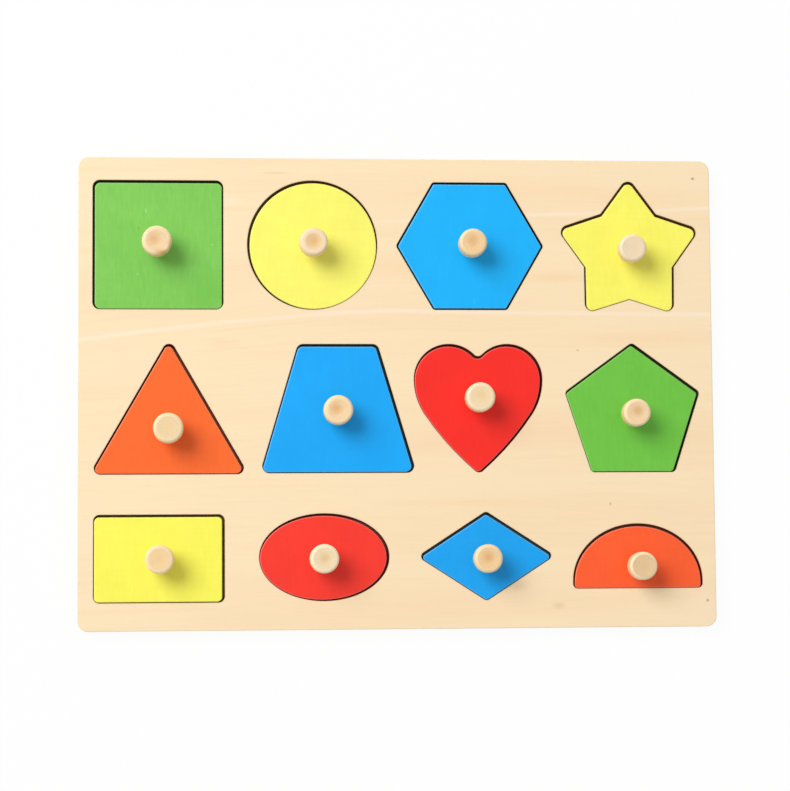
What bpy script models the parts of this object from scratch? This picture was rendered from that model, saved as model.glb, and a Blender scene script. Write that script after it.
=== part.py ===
"""Knob shape puzzle: a plywood board with twelve recesses, and twelve painted plywood
shapes that each lift straight out by a turned wooden knob.

Units are metres. +X runs along the board's length, +Y to its back edge, +Z up. The
origin is the centre of the underside. Every outline below is that of a recess; the
shape that lies in it is the same outline drawn in by the side clearance.
"""

import math

import bmesh
import bpy
from mathutils import Vector

# Board
FRAME_THICKNESS = 0.0050
BACKING_THICKNESS = 0.0027
BOARD_CORNER_RADIUS = 0.0050
SIDE_MARGIN = 0.0065
BACK_MARGIN = 0.0102
FRONT_MARGIN = 0.0131

# Loose shapes
SHAPE_THICKNESS = 0.0050

# Clearances
SIDE_CLEARANCE = 0.0008
LAYER_GAP = 0.0003
WALL_GAP = 0.0003
TENON_CLEARANCE = 0.0003

# Knob
TENON_RADIUS = 0.0030
NECK_SHOULDER = 0.0015
HEAD_OVERHANG = 0.0023
NECK_HEIGHT = 0.0050
HEAD_HEIGHT = 0.0095
HEAD_TOP_ROUND = 0.0020
HEAD_UNDER_ROUND = 0.0030
DISH_RIM = 0.0004
DISH_DEPTH = 0.0006
KNOB_SIDES = 24
ROUND_STEPS = 3
DISH_STEPS = 2

# Recess outlines of the back row
SQUARE_SIDE = 0.0610
SQUARE_ROUND = 0.0034
CIRCLE_DIAMETER = 0.0613
HEXAGON_ACROSS_FLATS = 0.0608
HEXAGON_ROUND = 0.0018
STAR_TIP_RADIUS = 0.0364
STAR_INNER_RADIUS = 0.0227
STAR_ROUND = 0.0036

# Recess outlines of the middle row
TRIANGLE_SIDE = 0.0739
TRIANGLE_ROUND = 0.0030
TRAPEZOID_FRONT = 0.0734
TRAPEZOID_BACK = 0.0375
TRAPEZOID_DEPTH = 0.0606
TRAPEZOID_ROUND = 0.0033
HEART_LOBE_SPACING = 0.0276
HEART_LOBE_RADIUS = 0.0167
HEART_FLANK_RADIUS = 0.0300
HEART_SIDE_RADIUS = 0.1350
HEART_POINT_DROP = 0.0448
HEART_ROUND = 0.0029
HEART_NOTCH_ROUND = 0.0027
PENTAGON_RADIUS = 0.0340
PENTAGON_ROUND = 0.0023

# Recess outlines of the front row
RECTANGLE_LENGTH = 0.0608
RECTANGLE_DEPTH = 0.0409
RECTANGLE_ROUND = 0.0029
OVAL_LENGTH = 0.0608
OVAL_DEPTH = 0.0408
RHOMBUS_LENGTH = 0.0650
RHOMBUS_DEPTH = 0.0420
RHOMBUS_ROUND = 0.0022
SEMICIRCLE_WIDTH = 0.0617
SEMICIRCLE_DEPTH = 0.0304
SEMICIRCLE_FOOT = 0.0035
SEMICIRCLE_ROUND = 0.0022

# Webs of frame left between neighbouring recesses, along each row and between rows
SQUARE_TO_CIRCLE = 0.0113
CIRCLE_TO_HEXAGON = 0.0093
HEXAGON_TO_STAR = 0.0090
TRIANGLE_TO_TRAPEZOID = 0.0088
TRAPEZOID_TO_HEART = 0.0003
HEART_TO_PENTAGON = 0.0111
RECTANGLE_TO_OVAL = 0.0161
OVAL_TO_RHOMBUS = 0.0152
RHOMBUS_TO_SEMICIRCLE = 0.0105
BACK_TO_MIDDLE_ROW = 0.0157
MIDDLE_TO_FRONT_ROW = 0.0184

# Where the rows start beyond the side margin
BACK_ROW_INDENT = 0.0002
MIDDLE_ROW_INDENT = 0.0011
FRONT_ROW_INDENT = 0.0008

# Meshing: how far a curve's facets may stray from it, which edges stay sharp, which points are one
FACET_SAG = 0.00005
SHARP_ANGLE = math.radians(38)
MERGE_DISTANCE = 0.000001

# Finishes: roughness, and colours as 0 to 255 in sRGB
PLY_ROUGHNESS = 0.55
PAINT_ROUGHNESS = 0.4
KNOB_ROUGHNESS = 0.45
BIRCH = (246, 224, 188)
BACKING_BIRCH = (232, 206, 164)
KNOB_WOOD = (238, 208, 160)
GREEN = (124, 200, 84)
YELLOW = (250, 242, 98)
BLUE = (36, 168, 246)
RED = (238, 52, 44)
ORANGE = (246, 104, 52)


def arc(centre, radius, start, end):
    """Points from angle start to angle end, both included; one point where the radius is 0."""
    if radius <= 0.0:
        return [Vector(centre)]
    step = 2.0 * math.acos(max(0.0, 1.0 - FACET_SAG / radius))
    count = max(1, math.ceil(abs(end - start) / step))
    angles = [start + (end - start) * index / count for index in range(count + 1)]
    return [Vector(centre) + radius * Vector((math.cos(a), math.sin(a))) for a in angles]


def crossing(point, along, other_point, other_along):
    """Where two lines cross, each given by a point and a direction."""
    reach = (other_point - point).cross(other_along) / along.cross(other_along)
    return point + reach * along


def drawn_in(corners, inset):
    """The corners of an anticlockwise polygon whose sides have all moved in by the inset."""
    moved = []
    for index, corner in enumerate(corners):
        before = (corner - corners[index - 1]).normalized()
        after = (corners[(index + 1) % len(corners)] - corner).normalized()
        on_before = corner + inset * Vector((-before.y, before.x))
        on_after = corner + inset * Vector((-after.y, after.x))
        moved.append(crossing(on_before, before, on_after, after))
    return moved


def rounded_polygon(corners, radius, inset):
    """Polygon drawn in by the inset, its outward corners rounded and its inward ones sharp."""
    corners = drawn_in([Vector(corner) for corner in corners], inset)
    radius = max(0.0, radius - inset)
    outline = []
    for index, corner in enumerate(corners):
        before = (corner - corners[index - 1]).normalized()
        after = (corners[(index + 1) % len(corners)] - corner).normalized()
        turn = math.atan2(before.cross(after), before.dot(after))
        if turn <= 0.0:
            outline.append(corner)
            continue
        back = radius * math.tan(turn / 2)
        centre = corner - back * before + radius * Vector((-before.y, before.x))
        start = math.atan2(-before.x, before.y)
        outline += arc(centre, radius, start, start + turn)
    return outline


def regular_polygon(count, radius, first_angle):
    angles = [first_angle + math.tau * index / count for index in range(count)]
    return [(radius * math.cos(a), radius * math.sin(a)) for a in angles]


def box_corners(length, depth):
    x = length / 2
    y = depth / 2
    return [(-x, -y), (x, -y), (x, y), (-x, y)]


def square_outline(inset):
    return rounded_polygon(box_corners(SQUARE_SIDE, SQUARE_SIDE), SQUARE_ROUND, inset)


def circle_outline(inset):
    return arc((0, 0), CIRCLE_DIAMETER / 2 - inset, 0.0, math.tau)[:-1]


def hexagon_outline(inset):
    radius = HEXAGON_ACROSS_FLATS / 2 / math.cos(math.pi / 6)
    return rounded_polygon(regular_polygon(6, radius, 0.0), HEXAGON_ROUND, inset)


def star_outline(inset):
    tips = regular_polygon(5, STAR_TIP_RADIUS, math.pi / 2)
    inner = regular_polygon(5, STAR_INNER_RADIUS, math.pi / 2 + math.pi / 5)
    corners = [corner for pair in zip(tips, inner) for corner in pair]
    return rounded_polygon(corners, STAR_ROUND, inset)


def triangle_outline(inset):
    radius = TRIANGLE_SIDE / math.sqrt(3)
    return rounded_polygon(regular_polygon(3, radius, math.pi / 2), TRIANGLE_ROUND, inset)


def trapezoid_outline(inset):
    front = TRAPEZOID_FRONT / 2
    back = TRAPEZOID_BACK / 2
    depth = TRAPEZOID_DEPTH / 2
    corners = [(-front, -depth), (front, -depth), (back, depth), (-back, depth)]
    return rounded_polygon(corners, TRAPEZOID_ROUND, inset)


def heart_outline(inset):
    """Two lobes, each run by a flank arc and a flatter side arc down to the rounded point."""
    lobe_centre = Vector((HEART_LOBE_SPACING / 2, 0))
    flank_centre = lobe_centre - Vector((HEART_FLANK_RADIUS - HEART_LOBE_RADIUS, 0))
    away = flank_centre + Vector((0, HEART_POINT_DROP))
    reach = HEART_SIDE_RADIUS - HEART_FLANK_RADIUS
    share = (away.length**2 + reach**2 - HEART_SIDE_RADIUS**2) / (2 * reach * away.length)
    joint = math.atan2(away.y, away.x) - math.acos(share)
    side_centre = flank_centre - reach * Vector((math.cos(joint), math.sin(joint)))
    round_y = side_centre.y - math.sqrt((HEART_SIDE_RADIUS - HEART_ROUND) ** 2 - side_centre.x**2)
    foot = math.atan2(round_y - side_centre.y, -side_centre.x)
    lobe = HEART_LOBE_RADIUS - inset
    notch = HEART_NOTCH_ROUND + inset
    notch_y = math.sqrt((lobe + notch) ** 2 - lobe_centre.x**2)
    notch_angle = math.atan2(notch_y, -lobe_centre.x)
    right = arc((0, round_y), max(0.0, HEART_ROUND - inset), -math.pi / 2, foot)
    right += arc(side_centre, HEART_SIDE_RADIUS - inset, foot, joint)[1:]
    right += arc(flank_centre, HEART_FLANK_RADIUS - inset, joint, 0.0)[1:]
    right += arc(lobe_centre, lobe, 0.0, notch_angle)[1:]
    right += arc((0, notch_y), notch, notch_angle - math.pi, -math.pi / 2)[1:]
    left = [Vector((-point.x, point.y)) for point in reversed(right[1:-1])]
    return right + left


def pentagon_outline(inset):
    return rounded_polygon(regular_polygon(5, PENTAGON_RADIUS, math.pi / 2), PENTAGON_ROUND, inset)


def rectangle_outline(inset):
    return rounded_polygon(box_corners(RECTANGLE_LENGTH, RECTANGLE_DEPTH), RECTANGLE_ROUND, inset)


def oval_outline(inset):
    """An ellipse, with each point moved in along its own normal."""
    outline = []
    for turn in arc((0, 0), OVAL_LENGTH / 2, 0.0, math.tau)[:-1]:
        across = turn.normalized()
        point = Vector((across.x * OVAL_LENGTH / 2, across.y * OVAL_DEPTH / 2))
        normal = Vector((across.x * OVAL_DEPTH, across.y * OVAL_LENGTH)).normalized()
        outline.append(point - inset * normal)
    return outline


def rhombus_outline(inset):
    length = RHOMBUS_LENGTH / 2
    depth = RHOMBUS_DEPTH / 2
    return rounded_polygon([(0, -depth), (length, 0), (0, depth), (-length, 0)], RHOMBUS_ROUND, inset)


def semicircle_outline(inset):
    """A slightly flat half disc on a low foot, with a rounded corner at each end of the foot."""
    half = SEMICIRCLE_WIDTH / 2
    rise = SEMICIRCLE_DEPTH - SEMICIRCLE_FOOT
    corner = max(0.0, SEMICIRCLE_ROUND - inset)
    corner_x = half - inset - corner
    corner_y = inset + corner
    outline = arc((corner_x, corner_y), corner, -math.pi / 2, 0.0)
    for across in arc((0, 0), half, 0.0, math.pi):
        normal = Vector((across.x * rise, across.y * half)).normalized()
        outline.append(Vector((across.x, SEMICIRCLE_FOOT + across.y * rise / half)) - inset * normal)
    outline += arc((-corner_x, corner_y), corner, math.pi, 3 * math.pi / 2)
    return outline


def centroid(outline):
    """Centre of the area inside an outline."""
    area = 0.0
    moment = Vector((0.0, 0.0))
    for index, point in enumerate(outline):
        share = outline[index - 1].cross(point)
        area += share
        moment += share * (outline[index - 1] + point)
    return moment / (3.0 * area)


def outline_box(outline):
    """Lowest and highest corner of an outline."""
    xs = [point.x for point in outline]
    ys = [point.y for point in outline]
    return Vector((min(xs), min(ys))), Vector((max(xs), max(ys)))


# Each row from left to right: the shape, its outline and the web that follows it
BACK_ROW = [
    ("square", square_outline, SQUARE_TO_CIRCLE),
    ("circle", circle_outline, CIRCLE_TO_HEXAGON),
    ("hexagon", hexagon_outline, HEXAGON_TO_STAR),
    ("star", star_outline, SIDE_MARGIN),
]
MIDDLE_ROW = [
    ("triangle", triangle_outline, TRIANGLE_TO_TRAPEZOID),
    ("trapezoid", trapezoid_outline, TRAPEZOID_TO_HEART),
    ("heart", heart_outline, HEART_TO_PENTAGON),
    ("pentagon", pentagon_outline, SIDE_MARGIN),
]
FRONT_ROW = [
    ("rectangle", rectangle_outline, RECTANGLE_TO_OVAL),
    ("oval", oval_outline, OVAL_TO_RHOMBUS),
    ("rhombus", rhombus_outline, RHOMBUS_TO_SEMICIRCLE),
    ("semicircle", semicircle_outline, SIDE_MARGIN),
]

PAINTS = {
    "square": GREEN,
    "circle": YELLOW,
    "hexagon": BLUE,
    "star": YELLOW,
    "triangle": ORANGE,
    "trapezoid": BLUE,
    "heart": RED,
    "pentagon": GREEN,
    "rectangle": YELLOW,
    "oval": RED,
    "rhombus": BLUE,
    "semicircle": ORANGE,
}

# How far each knob stands from the middle of its shape's area
KNOB_OFFSETS = {
    "square": (-0.0006, 0.0005),
    "circle": (-0.0003, 0.0001),
    "hexagon": (0.0001, 0.0),
    "star": (-0.0005, 0.0007),
    "triangle": (0.0, -0.0001),
    "trapezoid": (-0.0003, 0.0019),
    "heart": (-0.0002, -0.0004),
    "pentagon": (0.0, 0.0002),
    "rectangle": (0.0007, -0.0001),
    "oval": (-0.0002, -0.0006),
    "rhombus": (-0.0006, -0.0008),
    "semicircle": (0.0002, -0.0023),
}

# How far each recess stands behind the front line of its row
RISES = {
    "square": 0.0004,
    "circle": 0.0004,
    "hexagon": 0.0004,
    "star": 0.0,
    "triangle": 0.0,
    "trapezoid": 0.0004,
    "heart": 0.0005,
    "pentagon": 0.0003,
    "rectangle": 0.0,
    "oval": 0.0003,
    "rhombus": 0.0002,
    "semicircle": 0.0052,
}

# How far each loose shape has slid towards its recess wall, as a share of its play
SLIDES = {
    "square": (0.4, -0.9),
    "circle": (0.6, -0.8),
    "hexagon": (0.0, -0.2),
    "star": (0.0, -0.9),
    "triangle": (-0.5, -0.7),
    "trapezoid": (-0.7, -0.7),
    "heart": (-0.7, -0.7),
    "pentagon": (-0.7, -0.7),
    "rectangle": (-0.7, -0.7),
    "oval": (-0.8, -0.5),
    "rhombus": (0.0, -1.0),
    "semicircle": (0.0, -1.0),
}


def laid_out(rows):
    """Every recess's place, and the board's length and depth, from the rows set out one by one.

    The rows go from front to back. Each is (shapes, indent, the web or margin behind it).
    """
    places = {}
    length = 0.0
    front = FRONT_MARGIN
    for shapes, indent, behind in rows:
        left = SIDE_MARGIN + indent
        row_depth = 0.0
        for name, outline, web in shapes:
            low, high = outline_box(outline(0.0))
            places[name] = Vector((left - low.x, front + RISES[name] - low.y))
            left += high.x - low.x + web
            row_depth = max(row_depth, RISES[name] + high.y - low.y)
        length = max(length, left)
        front += row_depth + behind
    middle = Vector((length / 2, front / 2))
    return {name: place - middle for name, place in places.items()}, length, front


PLACES, BOARD_LENGTH, BOARD_DEPTH = laid_out(
    [
        (FRONT_ROW, FRONT_ROW_INDENT, MIDDLE_TO_FRONT_ROW),
        (MIDDLE_ROW, MIDDLE_ROW_INDENT, BACK_TO_MIDDLE_ROW),
        (BACK_ROW, BACK_ROW_INDENT, BACK_MARGIN),
    ]
)
FLOOR_OF_RECESS = BACKING_THICKNESS + LAYER_GAP
NECK_RADIUS = TENON_RADIUS + NECK_SHOULDER
HEAD_RADIUS = NECK_RADIUS + HEAD_OVERHANG
KNOB_HEIGHT = NECK_HEIGHT + HEAD_HEIGHT


def clear_scene():
    for old in list(bpy.data.objects):
        bpy.data.objects.remove(old, do_unlink=True)


def linear(colour):
    """An sRGB colour of 0 to 255 as the linear values that a shader takes."""
    shares = [channel / 255 for channel in colour]
    return [share / 12.92 if share <= 0.04045 else ((share + 0.055) / 1.055) ** 2.4 for share in shares]


def finish(piece, colour, roughness):
    """Gives the piece a material of its own."""
    material = bpy.data.materials.new(piece.name + "_finish")
    material.use_nodes = True
    shader = material.node_tree.nodes["Principled BSDF"]
    shader.inputs["Base Color"].default_value = (*linear(colour), 1.0)
    shader.inputs["Roughness"].default_value = roughness
    shader.inputs["Metallic"].default_value = 0.0
    material.diffuse_color = (*linear(colour), 1.0)
    piece.data.materials.append(material)


def finished_mesh(name, work):
    """The mesh of a bmesh, facing outwards, its curves shaded smooth and its corners sharp."""
    bmesh.ops.recalc_face_normals(work, faces=work.faces)
    mesh = bpy.data.meshes.new(name)
    work.to_mesh(mesh)
    work.free()
    mesh.shade_smooth()
    mesh.set_sharp_from_angle(angle=SHARP_ANGLE)
    return mesh


def new_object(name, mesh, place):
    piece = bpy.data.objects.new(name, mesh)
    piece.location = place
    bpy.context.scene.collection.objects.link(piece)
    return piece


def prism(name, outline, low, high, place):
    """A flat piece with the given outline, between two heights over its own origin."""
    work = bmesh.new()
    floor = work.faces.new([work.verts.new((point.x, point.y, low)) for point in outline])
    grown = bmesh.ops.extrude_face_region(work, geom=[floor])
    top = [item for item in grown["geom"] if isinstance(item, bmesh.types.BMVert)]
    bmesh.ops.translate(work, vec=(0.0, 0.0, high - low), verts=top)
    return new_object(name, finished_mesh(name, work), place)


def cutter(name, outline, low, high, place):
    tool = prism(name, outline, low, high, place)
    tool.hide_render = True
    tool.display_type = "WIRE"
    return tool


def cut(piece, tool):
    modifier = piece.modifiers.new(tool.name, "BOOLEAN")
    modifier.operation = "DIFFERENCE"
    modifier.object = tool


def board_outline():
    return rounded_polygon(box_corners(BOARD_LENGTH, BOARD_DEPTH), BOARD_CORNER_RADIUS, 0.0)


def make_backing_panel():
    """The thin sheet that closes the recesses from below."""
    panel = prism("backing_panel", board_outline(), 0.0, BACKING_THICKNESS, (0, 0, 0))
    finish(panel, BACKING_BIRCH, PLY_ROUGHNESS)


def make_frame_panel(shapes):
    """The sheet with the twelve recesses cut right through it."""
    panel = prism("frame_panel", board_outline(), 0.0, FRAME_THICKNESS, (0, 0, FLOOR_OF_RECESS))
    finish(panel, BIRCH, PLY_ROUGHNESS)
    for name, outline, _ in shapes:
        place = (*PLACES[name], FLOOR_OF_RECESS)
        low = -FRAME_THICKNESS
        high = 2 * FRAME_THICKNESS
        cut(panel, cutter(name + "_recess", outline(0.0), low, high, place))


def knob_profile():
    """Half the knob's section, as radius and height over its shoulder, from its top to the tenon."""
    top_round = min(HEAD_TOP_ROUND, HEAD_HEIGHT / 2)
    under_round = min(HEAD_UNDER_ROUND, HEAD_HEIGHT / 2)
    side_x = HEAD_RADIUS - top_round
    profile = []
    for index in range(DISH_STEPS + 1):
        share = index / DISH_STEPS
        sunk = DISH_DEPTH * (1 - share**2)
        profile.append(Vector(((side_x - DISH_RIM) * share, KNOB_HEIGHT - sunk)))
    for index in range(ROUND_STEPS + 1):
        angle = math.pi / 2 * (1 - index / ROUND_STEPS)
        away = Vector((math.cos(angle), math.sin(angle)))
        profile.append(Vector((side_x, KNOB_HEIGHT - top_round)) + top_round * away)
    for index in range(ROUND_STEPS + 1):
        angle = math.pi / 2 * index / ROUND_STEPS
        reach = Vector((HEAD_OVERHANG * math.cos(angle), -under_round * math.sin(angle)))
        profile.append(Vector((NECK_RADIUS, NECK_HEIGHT + under_round)) + reach)
    profile.append(Vector((NECK_RADIUS, 0.0)))
    profile.append(Vector((TENON_RADIUS, 0.0)))
    profile.append(Vector((TENON_RADIUS, -SHAPE_THICKNESS)))
    profile.append(Vector((0.0, -SHAPE_THICKNESS)))
    return profile


def make_knob(name, shape):
    """A turned knob whose tenon fills the hole in its shape."""
    work = bmesh.new()
    points = [work.verts.new((point.x, 0.0, point.y)) for point in knob_profile()]
    edges = [work.edges.new(ends) for ends in zip(points, points[1:])]
    bmesh.ops.spin(
        work, geom=points + edges, cent=(0, 0, 0), axis=(0, 0, 1), angle=math.tau, steps=KNOB_SIDES
    )
    bmesh.ops.remove_doubles(work, verts=work.verts, dist=MERGE_DISTANCE)
    knob = new_object(name, finished_mesh(name, work), (0, 0, SHAPE_THICKNESS + LAYER_GAP))
    knob.parent = shape
    finish(knob, KNOB_WOOD, KNOB_ROUGHNESS)


def make_shape(name, outline):
    """A painted shape in its recess, with its origin on the knob's axis, at the underside."""
    drawn = outline(SIDE_CLEARANCE)
    knob_place = centroid(drawn) + Vector(KNOB_OFFSETS[name])
    slide = (SIDE_CLEARANCE - WALL_GAP) * Vector(SLIDES[name])
    place = PLACES[name] + slide + knob_place
    drawn = [point - knob_place for point in drawn]
    shape = prism(name + "_shape", drawn, 0.0, SHAPE_THICKNESS, (*place, FLOOR_OF_RECESS))
    finish(shape, PAINTS[name], PAINT_ROUGHNESS)
    hole = arc((0, 0), TENON_RADIUS + TENON_CLEARANCE, 0.0, math.tau)[:-1]
    drill = cutter(name + "_hole", hole, -SHAPE_THICKNESS, 2 * SHAPE_THICKNESS, (0, 0, 0))
    drill.parent = shape
    cut(shape, drill)
    make_knob(name + "_knob", shape)


def main():
    shapes = BACK_ROW + MIDDLE_ROW + FRONT_ROW
    clear_scene()
    make_backing_panel()
    make_frame_panel(shapes)
    for name, outline, _ in shapes:
        make_shape(name, outline)


if __name__ == "__main__":
    main()
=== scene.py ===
"""Knob shape puzzle: the looks of the board, its twelve painted shapes and their knobs.

Units are metres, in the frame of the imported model: +X along the board's length, +Y to its
back edge, +Z up, with the origin at the centre of the underside.
"""

import math

import bmesh
import bpy
from bpy.props import FloatProperty, FloatVectorProperty, IntProperty, PointerProperty
from mathutils import Matrix, Vector


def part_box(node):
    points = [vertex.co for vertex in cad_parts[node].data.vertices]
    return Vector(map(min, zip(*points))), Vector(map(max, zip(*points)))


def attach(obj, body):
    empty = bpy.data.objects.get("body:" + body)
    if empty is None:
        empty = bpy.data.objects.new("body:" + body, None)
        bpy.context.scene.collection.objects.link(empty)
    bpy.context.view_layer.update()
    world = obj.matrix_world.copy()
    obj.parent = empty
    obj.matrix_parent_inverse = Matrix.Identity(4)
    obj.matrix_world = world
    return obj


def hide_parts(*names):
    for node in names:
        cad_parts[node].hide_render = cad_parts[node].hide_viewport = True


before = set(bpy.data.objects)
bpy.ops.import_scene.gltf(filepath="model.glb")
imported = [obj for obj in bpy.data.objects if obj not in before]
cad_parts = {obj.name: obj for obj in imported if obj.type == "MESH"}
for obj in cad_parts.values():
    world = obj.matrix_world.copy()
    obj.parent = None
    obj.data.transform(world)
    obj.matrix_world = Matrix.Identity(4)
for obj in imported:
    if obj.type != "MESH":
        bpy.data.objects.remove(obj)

bl_info = {
    "name": "Knob shape puzzle",
    "version": (1, 0, 0),
    "blender": (4, 5, 0),
    "location": "3D View > Sidebar > Puzzle",
    "description": "Builds the looks of a wooden knob shape puzzle around its packed model",
    "category": "Object",
}

# Outlines of the recesses, back row
SQUARE_SIDE = 0.0610
SQUARE_ROUND = 0.0034
CIRCLE_DIAMETER = 0.0613
HEXAGON_ACROSS_FLATS = 0.0608
HEXAGON_ROUND = 0.0018
STAR_TIP_RADIUS = 0.0364
STAR_INNER_RADIUS = 0.0227
STAR_ROUND = 0.0036

# Outlines of the recesses, middle row
TRIANGLE_SIDE = 0.0739
TRIANGLE_ROUND = 0.0030
TRAPEZOID_FRONT = 0.0734
TRAPEZOID_BACK = 0.0375
TRAPEZOID_DEPTH = 0.0606
TRAPEZOID_ROUND = 0.0033
HEART_LOBE_SPACING = 0.0276
HEART_LOBE_RADIUS = 0.0167
HEART_FLANK_RADIUS = 0.0300
HEART_SIDE_RADIUS = 0.1350
HEART_POINT_DROP = 0.0448
HEART_ROUND = 0.0029
HEART_NOTCH_ROUND = 0.0027
PENTAGON_RADIUS = 0.0340
PENTAGON_ROUND = 0.0023

# Outlines of the recesses, front row
RECTANGLE_LENGTH = 0.0608
RECTANGLE_DEPTH = 0.0409
RECTANGLE_ROUND = 0.0029
OVAL_LENGTH = 0.0608
OVAL_DEPTH = 0.0408
RHOMBUS_LENGTH = 0.0650
RHOMBUS_DEPTH = 0.0420
RHOMBUS_ROUND = 0.0022
SEMICIRCLE_WIDTH = 0.0617
SEMICIRCLE_DEPTH = 0.0304
SEMICIRCLE_FOOT = 0.0035
SEMICIRCLE_ROUND = 0.0022

# A shape is its recess's outline drawn in by the clearance. Sides that face the way it slid come
# nearer the wall by a share of the slide, which sets in between two cosines of their facing
SIDE_CLEARANCE = 0.0008
LEANING = 0.42
NOT_LEANING = 0.45
FULLY_LEANING = 0.65
BOARD_CORNER_RADIUS = 0.0050

# Sheets: plies in each, how wide a glue line shows, and the hair of space over the backing
FRAME_PLIES = 5
BACKING_PLIES = 3
GLUE_LINE = 0.00006
SEAT_GAP = 0.00002

# Scorch of the cutter on the shapes and in the knobs' holes; painted shade on a recess's floor,
# falling away from its wall; and how much scorch an eased edge has lost at the face
SHAPE_SCORCH = 0.97
HOLE_SCORCH = 0.6
FLOOR_SHADE = (1.0, 0.7, 0.0)
SCORCH_LOST = 0.85

# Knob: turned form under its head
NECK_RADIUS = 0.0045
NECK_HEIGHT = 0.0050
NECK_WAIST = 0.0005
TENON_RADIUS = 0.0030
TENON_CLEARANCE = 0.00012
HEAD_TOP_ROUND = 0.0015
HEAD_UNDER_ROUND = 0.0030
SHOULDER_ROUND = 0.0005
RING_SPACING = 0.0007

# Meshing
ARC_STEP = math.radians(3)
EASE_STEPS = 4
ROUND_STEPS = 8
DISH_STEPS = 10
FLOOR_SIDES = 96
SHARP_ANGLE = math.radians(38)
LEAST_FLAT = 0.5
MERGE_DISTANCE = 0.000001

# Marks on a mesh that its finish reads, and the painted tint of light bounced off a shape's paint
MARKS = ("side", "burnt", "paint")
BOUNCE_TINT = "rubbed"
NO_BOUNCE_TINT = (1.0, 1.0, 1.0)
LEAST_BOUNCE_TINT = 0.3
MOST_BOUNCE_TINT = 1.5

# Knots, smudges and warm bands on the board's face: place, reach, strength and colour
BOARD_MARKS = [
    ((0.1421, 0.1025), (0.0012, 0.0010), 0.80, (140, 96, 56)),
    ((0.0853, 0.0200), (0.0009, 0.0007), 0.50, (140, 100, 66)),
    ((0.1000, -0.0529), (0.0008, 0.0010), 0.50, (130, 96, 64)),
    ((0.0749, -0.1006), (0.0046, 0.0024), 0.32, (212, 178, 108)),
    ((0.1459, -0.0987), (0.0012, 0.0011), 0.60, (130, 96, 60)),
    ((0.0553, -0.0911), (0.0080, 0.0040), 0.25, (196, 160, 120)),
    ((-0.0776, 0.0902), (0.0070, 0.0030), 0.25, (255, 242, 224)),
    ((0.0450, 0.0960), (0.0800, 0.0110), 0.40, (251, 213, 166)),
    ((0.1150, 0.0930), (0.0500, 0.0090), 0.35, (250, 211, 164)),
    ((0.0080, 0.0590), (0.0420, 0.0100), 0.45, (252, 211, 162)),
    ((0.0760, 0.0550), (0.0260, 0.0035), 0.42, (250, 206, 152)),
    ((0.1180, 0.0250), (0.0560, 0.0048), 0.38, (251, 210, 160)),
    ((-0.0820, 0.0235), (0.0120, 0.0036), 0.30, (252, 210, 160)),
    ((-0.0580, 0.1040), (0.0120, 0.0009), 0.40, (238, 190, 136)),
    ((0.0300, -0.0520), (0.0600, 0.0040), 0.20, (250, 210, 164)),
    ((-0.0900, -0.0950), (0.0500, 0.0030), 0.20, (250, 214, 168)),
]

# Chips and runs in the square's paint, and two broad patches of deeper green below and right of
# its knob, partly the paint's tone and partly painted shade of the knob's shadow tail: place,
# reach, strength and colour
PAINT_MARKS_AND_SHADE = {
    "square": [
        ((-0.1186, 0.0856), (0.0005, 0.0016), 0.50, (196, 236, 170)),
        ((-0.1219, 0.0773), (0.0006, 0.0014), 0.45, (84, 132, 40)),
        ((-0.0875, 0.0698), (0.0006, 0.0007), 0.55, (186, 232, 160)),
        ((-0.1224, 0.0557), (0.0009, 0.0008), 0.50, (178, 226, 152)),
        ((-0.0900, 0.0480), (0.0160, 0.0140), 0.45, (104, 188, 62)),
        ((-0.1130, 0.0500), (0.0110, 0.0060), 0.25, (104, 188, 62)),
    ]
}

# Painted shade: darker brown on the lower right of a knob's rim, away from the lamp: place
# from the knob's axis, reach, strength and colour
KNOB_SHADE = {
    "square": [
        ((0.0022, -0.0056), (0.0052, 0.0020), 0.70, (204, 148, 70)),
        ((0.0060, -0.0020), (0.0016, 0.0046), 0.50, (206, 152, 80)),
    ]
}

# Woods, as sRGB colours
WARM_BAND = (250, 212, 170)
WARM_STREAK = (240, 204, 156)
FLECK = (206, 158, 104)
PALE_STREAK = (255, 241, 224)
LONG_PLY = (232, 202, 156)
END_PLY = (205, 166, 116)
GLUE = (120, 82, 48)
DARK_CHAR = (54, 35, 20)
LIGHT_CHAR = (120, 80, 48)
UNDER_PAINT = (240, 214, 172)
SCRATCH = (255, 248, 230)
# A painted highlight for the painted shapes' eased top edges
EDGE_HIGHLIGHT = (255, 246, 230)
KNOB_SIDE = (246, 214, 166)

# How often a pattern repeats in a metre, along x, y and z
BANDS = (3, 34, 3)
STREAKS = (9, 260, 9)
FIBRES = (40, 1500, 40)
FLECKS = (320, 2600, 320)
LONG_PLY_GRAIN = (60, 60, 2500)
END_PLY_GRAIN = (1400, 1400, 900)
SCORCH_RIBS = (1800, 1800, 60)
BRUSH_STROKES = (620, 110, 110)
PAINTED_GRAIN = (14, 560, 14)
KNOB_FIBRES = (1100, 1100, 45)
KNOB_BLOTCHES = 420
KNOB_PORES = 1700
PAINT_CLOUDS = 55
PAINT_PATCHES = 900

# Where the board's grain falls away to the left, and two pale streaks in it
FALL_LENGTH = 0.15
FALL_POWER = 1.5
FALL_DROP = 0.0155
FALL_MIDDLE = 0.030
FALL_REACH = 0.060
MIDDLE_STREAK = (0.0384, -0.010, FALL_DROP, 0.0017)
BACK_STREAK = (0.0815, 0.045, 0.0, 0.0016)

# Depth of the fine relief on the sheets, and on paint and knobs
WOOD_RELIEF = 0.00003
FINE_RELIEF = 0.00002

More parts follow.
